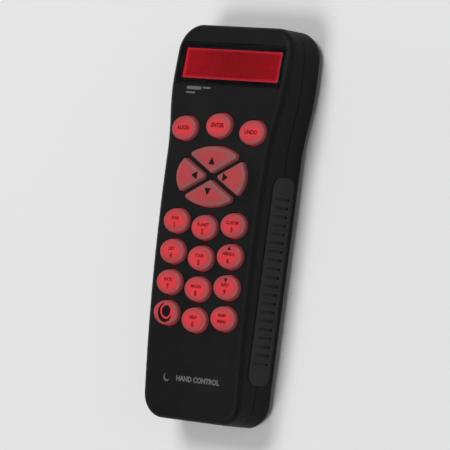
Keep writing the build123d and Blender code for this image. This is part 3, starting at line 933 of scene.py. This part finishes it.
arm_turn = asin(recess_half_width / hypot(recess_half_width, recess_half_length))
arm_side = arm_turn + 0.12
between_arms = radians(28)
half_quarter = [0, arm_turn, arm_side, between_arms]
quarter_turns = half_quarter + [pi / 4] + [pi / 2 - turn for turn in half_quarter[:0:-1]]
screw_turns = [quarter * pi / 2 + turn for quarter in range(4) for turn in quarter_turns]
each_turned = 0.83              # how much further each next screw is turned


def round_ring(radius, z):
    """A round ring with points where the recess needs them."""
    return [(radius * cos(turn), radius * sin(turn), z) for turn in screw_turns]


def cross_ring(share, z):
    """The outline of the driver's recess."""
    ring = []
    for turn in screw_turns:
        along = max(abs(cos(turn)), 1e-6)
        across = max(abs(sin(turn)), 1e-6)
        one_arm = min(recess_half_length / along, recess_half_width / across)
        other_arm = min(recess_half_width / along, recess_half_length / across)
        radius = max(one_arm, other_arm) * share
        ring.append((radius * cos(turn), radius * sin(turn), z))
    return ring


screw_rings = [
    [(0, 0, recess_depth)],
    cross_ring(0.45, recess_depth * 0.9),
    cross_ring(1.0, 0.05 * mm),
    round_ring(head_radius * 0.82, 0.08 * mm),
    round_ring(head_radius * 0.95, 0.25 * mm),
    round_ring(head_radius, 0.55 * mm),
    round_ring(head_radius, head_height),
    round_ring(shank_radius, head_height),
]
shank_end = screw_high.z - screw_low.z
z = head_height + thread_pitch
while z < shank_end - 3 * thread_pitch:
    screw_rings.append(round_ring(shank_radius - thread_depth, z))
    screw_rings.append(round_ring(shank_radius, z + thread_pitch / 2))
    z += thread_pitch
screw_rings.append(round_ring(shank_radius - thread_depth, shank_end - 2 * thread_pitch))
screw_rings.append([(0, 0, shank_end)])
screw_mesh = skin("one_screw", screw_rings, smooth=False)
screw_pattern = add_piece("one_screw", screw_mesh)

screws = Tree("case_screws", {
    "Screw": "NodeSocketObject",
    "Turn": "NodeSocketFloat",
    "Plating": "NodeSocketMaterial",
})
one_screw = screws.node("GeometryNodeObjectInfo", {}, {
    "Object": screws.given.outputs["Screw"],
}, "Geometry")
number = screws.node("GeometryNodeInputIndex", {}, {})
turned = screws.node("ShaderNodeCombineXYZ", {}, {
    "Z": screws.maths("MULTIPLY", number, screws.given.outputs["Turn"]),
})
placed = screws.node("GeometryNodeInstanceOnPoints", {}, {
    "Points": screws.given.outputs["Geometry"], "Instance": one_screw, "Rotation": turned,
})
screws.finish(placed, "Plating")

zinc = Finish("black_zinc")
plating = zinc.noise(900, 4.0, 0.6)
zinc.surface({
    "Base Color": zinc.mix(plating, (0.035, 0.036, 0.040, 1), (0.085, 0.085, 0.090, 1)),
    "Metallic": 1.0,
    "Roughness": 0.28 + plating * 0.25,
    "Normal": zinc.bumps(plating, 0.01 * mm, 0.5),
})
screw_points = bpy.data.meshes.new("screw_points")
screw_points.from_pydata([(x, y, screw_low.z) for x, y in screw_places], [], [])
screws_mesh = screws.grow("case_screws_set", screw_points, {
    "Screw": screw_pattern, "Turn": each_turned, "Plating": zinc.material,
})
bpy.data.objects.remove(screw_pattern)
screw_piece = add_piece("case_screws_set", screws_mesh)
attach(screw_piece, "housing")
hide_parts("case_screws")

# Rear label: a satin polyester sticker in a shallow recess of the back, left
# without wording. Thin printed rules divide it into boxes.
label = Finish("label_polyester")
label_low, label_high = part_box("rear_label")
label_x = abs(label.x)
label_y = abs(label.y - (label_low.y + label_high.y) / 2)
rule = 0.25 * mm
rule_margin = 2.5 * mm
row_pitch = 8 * mm
half_wide = (label_high.x - label_low.x) / 2 - rule_margin
half_long = (label_high.y - label_low.y) / 2 - rule_margin
border_x = (label_x > half_wide - rule) * (label_x < half_wide) * (label_y < half_long)
border_y = (label_y > half_long - rule) * (label_y < half_long) * (label_x < half_wide)
rows = ((label.y % row_pitch) < rule) * (label_x < half_wide) * (label_y < half_long)
rules = (border_x + border_y + rows).held()
weave = label.noise(1500, 2.0, 0.5)
label.surface({
    "Base Color": label.mix(rules, (0.30, 0.30, 0.31, 1), (0.03, 0.03, 0.03, 1)),
    "Roughness": 0.36 + weave * 0.12,
    "Metallic": 0.25,
    "Normal": label.bumps(weave, 0.01 * mm, 0.4),
})
dress(label.material, "rear_label")

# Sockets at the bottom end: glass-filled nylon jacks soldered to the main board,
# with gold plated spring wires, for the mount's coiled cord and the serial lead.
jack = Finish("jack_nylon")
fibres = jack.noise(1800, 3.0, 0.6)
jack.surface({
    "Base Color": jack.mix(fibres, (0.012, 0.012, 0.013, 1), (0.024, 0.024, 0.025, 1)),
    "Roughness": 0.30 + fibres * 0.2,
    "Normal": jack.bumps(fibres, 0.015 * mm, 0.5),
})
dress(jack.material, "cord_socket", "serial_socket")
gold = Finish("gold_plate")
plated = gold.noise(1200, 2.0, 0.5)
gold.surface({
    "Base Color": gold.mix(plated, (0.80, 0.52, 0.17, 1), (0.93, 0.66, 0.28, 1)),
    "Metallic": 1.0,
    "Roughness": 0.16 + plated * 0.14,
})
dress(gold.material, "cord_contacts", "serial_contacts")

# Boards: green glass-epoxy circuit boards with solder mask over the tracks. The
# display stands on its own small board, tied to the main board by a flat ribbon.
mask = Finish("solder_mask")
tracks = mask.node(
    "ShaderNodeTexBrick",
    {"offset": 0.37, "offset_frequency": 3, "squash": 1.6, "squash_frequency": 2},
    {"Vector": mask.place, "Scale": 130.0, "Mortar Size": 0.045, "Color1": (0, 0, 0, 1),
     "Color2": (0.15, 0.15, 0.15, 1), "Mortar": (1, 1, 1, 1)},
)
glass_cloth = mask.noise(2400, 2.0, 0.6)
mask.surface({
    "Base Color": mask.mix(tracks, (0.006, 0.060, 0.022, 1), (0.020, 0.150, 0.055, 1)),
    "Roughness": 0.28 + glass_cloth * 0.15,
    "Normal": mask.bumps(tracks, 0.03 * mm, 0.8),
})
dress(mask.material, "main_board", "display_board")

flat_cable = Finish("flat_cable")
wire_pitch = 1.27 * mm
wire_width = 0.75 * mm
wires = (flat_cable.x % wire_pitch) < wire_width
flat_cable.surface({
    "Base Color": flat_cable.mix(wires, (0.50, 0.50, 0.48, 1), (0.24, 0.24, 0.25, 1)),
    "Roughness": 0.40 + flat_cable.noise(500) * 0.15,
    "Normal": flat_cable.bumps(wires, 0.08 * mm, 0.8),
})
dress(flat_cable.material, "display_ribbon")

# Board parts: black epoxy packages, a steel crystal can, aluminium capacitors and
# chip resistors, and the black nylon headers of the ribbon.
epoxy = Finish("epoxy_package")
mould = epoxy.noise(2800, 2.0, 0.6)
epoxy.surface({
    "Base Color": epoxy.mix(mould, (0.012, 0.012, 0.012, 1), (0.028, 0.028, 0.028, 1)),
    "Roughness": 0.48 + mould * 0.2,
    "Normal": epoxy.bumps(mould, 0.02 * mm, 0.6),
})
dress(epoxy.material, "processor", "memory_chip", "regulator", "line_driver", "board_resistors")
header = Finish("header_nylon")
gloss = header.noise(800, 2.0, 0.5)
header.surface({
    "Base Color": header.mix(gloss, (0.016, 0.016, 0.017, 1), (0.030, 0.030, 0.031, 1)),
    "Roughness": 0.32 + gloss * 0.2,
})
dress(header.material, "board_header", "display_header")
can = Finish("drawn_can")
drawn = can.noise(1400, 3.0, 0.6)
can.surface({
    "Base Color": can.mix(drawn, (0.52, 0.52, 0.53, 1), (0.72, 0.72, 0.73, 1)),
    "Metallic": 1.0,
    "Roughness": 0.22 + drawn * 0.2,
})
dress(can.material, "crystal", "board_capacitors")
steel = Finish("bright_steel")
turned_steel = steel.noise(1600, 3.0, 0.6)
steel.surface({
    "Base Color": steel.mix(turned_steel, (0.40, 0.40, 0.41, 1), (0.60, 0.60, 0.61, 1)),
    "Metallic": 1.0,
    "Roughness": 0.25 + turned_steel * 0.2,
})
dress(steel.material, "display_screws")

# Lighting under the keys: one red lamp feeds a bundle of fibres that spreads into a
# flat guide under the mat, and the display has its own box. All of it glows red.
guide = Finish("lit_light_guide")
weave_light = guide.noise(240, 3.0, 0.6)
guide.surface({
    "Base Color": (0.35, 0.05, 0.05, 1),
    "Roughness": 0.30 + weave_light * 0.2,
    "Emission Color": guide.mix(weave_light, (0.35, 0.005, 0.008, 1), (0.80, 0.02, 0.03, 1)),
    "Emission Strength": 1.2,
})
dress(guide.material, "light_guide", "backlight_led", "display_backlight")
ferrule = Finish("ferrule_nylon")
ferrule_grain = ferrule.noise(1500)
ferrule.surface({
    "Base Color": ferrule.mix(ferrule_grain, (0.015, 0.015, 0.015, 1), (0.03, 0.03, 0.03, 1)),
    "Roughness": 0.4 + ferrule_grain * 0.2,
})
dress(ferrule.material, "light_guide_ferrule")
key_mat = Finish("lit_key_mat")
mat_cloud = key_mat.noise(200, 3.0, 0.6)
key_mat.surface({
    "Base Color": (0.30, 0.03, 0.03, 1),
    "Roughness": 0.55 + mat_cloud * 0.2,
    "Emission Color": key_mat.mix(mat_cloud, (0.30, 0.003, 0.005, 1), (0.60, 0.008, 0.012, 1)),
    "Emission Strength": 1.0,
})
dress(key_mat.material, "keypad_mat")
foam = Finish("gasket_foam")
foam_cells = foam.node("ShaderNodeTexVoronoi", {}, {"Vector": foam.place, "Scale": 3500.0}, "Distance")
foam.surface({
    "Base Color": foam.mix(foam_cells.held(), (0.010, 0.010, 0.010, 1), (0.035, 0.035, 0.035, 1)),
    "Roughness": 0.8 + foam_cells * 0.1,
    "Normal": foam.bumps(foam_cells, 0.15 * mm, 1.0),
})
dress(foam.material, "display_gasket")

# Studio: a pale matt table top, four soft boxes and an even pale surround. The
# camera looks from the right of the face, held slightly turned.
table_half = 3.0
table_z = -0.15 * mm            # just clear of the flat back
table_mesh = bpy.data.meshes.new("table_top")
table_mesh.from_pydata(
    [(x * table_half, y * table_half, table_z) for x, y in ((-1, -1), (1, -1), (1, 1), (-1, 1))],
    [], [(0, 1, 2, 3)],
)
table_paint = Finish("pale_table")
table_cloud = table_paint.noise(3, 3.0, 0.5)
table_paint.surface({
    "Base Color": table_paint.mix(table_cloud, (0.78, 0.78, 0.78, 1), (0.82, 0.82, 0.82, 1)),
    "Roughness": 0.85,
    "Specular IOR Level": 0.2,
})
add_piece("table_top", table_mesh, table_paint.material)

world = bpy.data.worlds.new("surround")
world.use_nodes = True
surround = world.node_tree.nodes["Background"]
surround.inputs["Color"].default_value = (0.95, 0.96, 1.0, 1)
surround.inputs["Strength"].default_value = 0.11
bpy.context.scene.world = world


def soft_box(name, place, size, power):
    """A square soft box that faces the object."""
    lamp = bpy.data.lights.new(name, "AREA")
    lamp.shape = "SQUARE"
    lamp.size = size
    lamp.energy = power
    holder = bpy.data.objects.new(name, lamp)
    holder.location = place
    holder.rotation_euler = Vector(place).to_track_quat("Z", "Y").to_euler()
    bpy.context.scene.collection.objects.link(holder)


soft_box("top_box", place=(-0.4, 1.5, 2.4), size=1.3, power=44)
soft_box("foot_box", place=(-0.2, -1.4, 2.4), size=1.3, power=36)
soft_box("left_box", place=(-2.4, 0.2, 0.35), size=0.7, power=6)
soft_box("right_box", place=(2.3, 0.6, 1.0), size=1.2, power=8)

view_turn = radians(43.35)      # from straight above towards the right side
view_drop = radians(-1.64)      # towards the bottom end
view_roll = radians(6.8)
view_distance = 2.025
aim = Vector((0, 0, 14 * mm))
flat = cos(view_drop)
backward = Vector((sin(view_turn) * flat, sin(view_drop), cos(view_turn) * flat))
level = Vector((0, 1, 0)).cross(backward).normalized()
upright = backward.cross(level)
rightward = level * cos(view_roll) + upright * sin(view_roll)
upward = upright * cos(view_roll) - level * sin(view_roll)
camera = bpy.data.cameras.new("camera")
camera.lens = 350
camera.sensor_width = 36
camera.clip_end = 20
stand = bpy.data.objects.new("camera", camera)
turned_view = Matrix((rightward, upward, backward)).transposed().to_4x4()
stand.matrix_world = Matrix.Translation(aim + backward * view_distance) @ turned_view
bpy.context.scene.collection.objects.link(stand)
bpy.context.scene.camera = stand
bpy.context.scene.view_settings.view_transform = "Standard"
